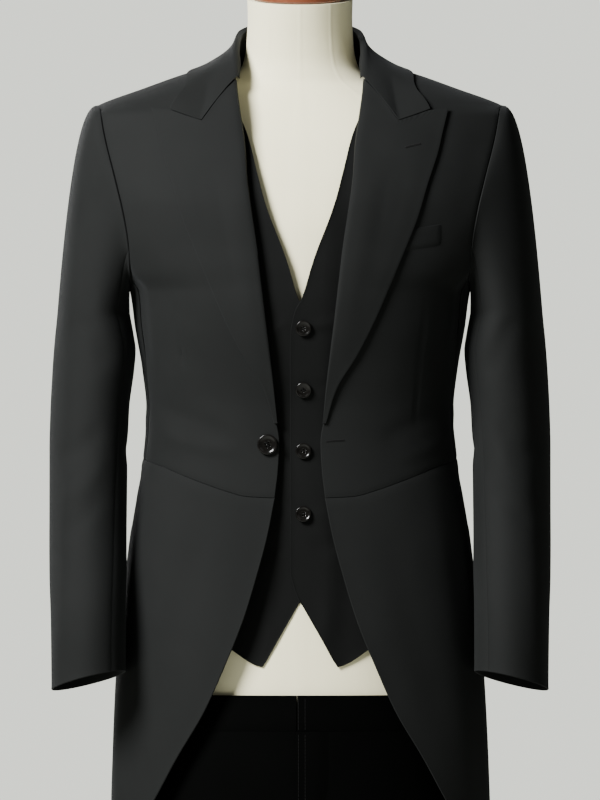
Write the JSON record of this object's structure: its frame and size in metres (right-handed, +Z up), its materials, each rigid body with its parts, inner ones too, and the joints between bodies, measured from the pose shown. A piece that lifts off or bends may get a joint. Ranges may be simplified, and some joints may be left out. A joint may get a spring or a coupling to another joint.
{
  "type": "funeral suit on a dress form",
  "caption": "Three-piece morning suit, a cutaway tailcoat with peaked lapels over a pointed waistcoat and trousers, worn open on a limbless dress form with a round stand.",
  "frame": {"origin": "middle of the stand's base, on the floor", "axes": "+Z up; -Y is the front of the suit; +X is the wearer's left"},
  "size_m": [0.5508, 0.38, 1.8296],
  "materials": {
    "coat_wool": "matt black worsted wool",
    "waistcoat_wool": "matt black worsted wool",
    "trouser_wool": "matt black worsted wool",
    "black_horn": "polished black horn",
    "cream_cover": "cream cotton jersey stretched over the torso",
    "dark_wood": "stained and varnished wood",
    "satin_steel": "satin steel"
  },
  "bodies": {
    "root": {"coat_forepart_L": "coat_wool", "coat_forepart_R": "coat_wool", "coat_sidebody_L": "coat_wool", "coat_sidebody_R": "coat_wool", "coat_back_L": "coat_wool", "coat_back_R": "coat_wool", "coat_skirt_L": "coat_wool", "coat_skirt_R": "coat_wool", "coat_lapel_L": "coat_wool", "coat_lapel_R": "coat_wool", "coat_collar": "coat_wool", "coat_top_sleeve_L": "coat_wool", "coat_top_sleeve_R": "coat_wool", "coat_under_sleeve_L": "coat_wool", "coat_under_sleeve_R": "coat_wool", "coat_chest_welt": "coat_wool", "coat_front_button": "black_horn", "coat_back_button_L": "black_horn", "coat_back_button_R": "black_horn", "coat_sleeve_button_L1": "black_horn", "coat_sleeve_button_L2": "black_horn", "coat_sleeve_button_L3": "black_horn", "coat_sleeve_button_L4": "black_horn", "coat_sleeve_button_R1": "black_horn", "coat_sleeve_button_R2": "black_horn", "coat_sleeve_button_R3": "black_horn", "coat_sleeve_button_R4": "black_horn", "waistcoat_front_L": "waistcoat_wool", "waistcoat_front_R": "waistcoat_wool", "waistcoat_back": "waistcoat_wool", "waistcoat_button_1": "black_horn", "waistcoat_button_2": "black_horn", "waistcoat_button_3": "black_horn", "waistcoat_button_4": "black_horn", "trouser_front_L": "trouser_wool", "trouser_front_R": "trouser_wool", "trouser_back_L": "trouser_wool", "trouser_back_R": "trouser_wool", "trouser_waistband": "trouser_wool", "trouser_fly": "trouser_wool", "form_torso": "cream_cover", "form_neck_cap": "dark_wood", "stand_rod_L": "satin_steel", "stand_rod_R": "satin_steel", "stand_base": "satin_steel"}
  },
  "joints": []
}
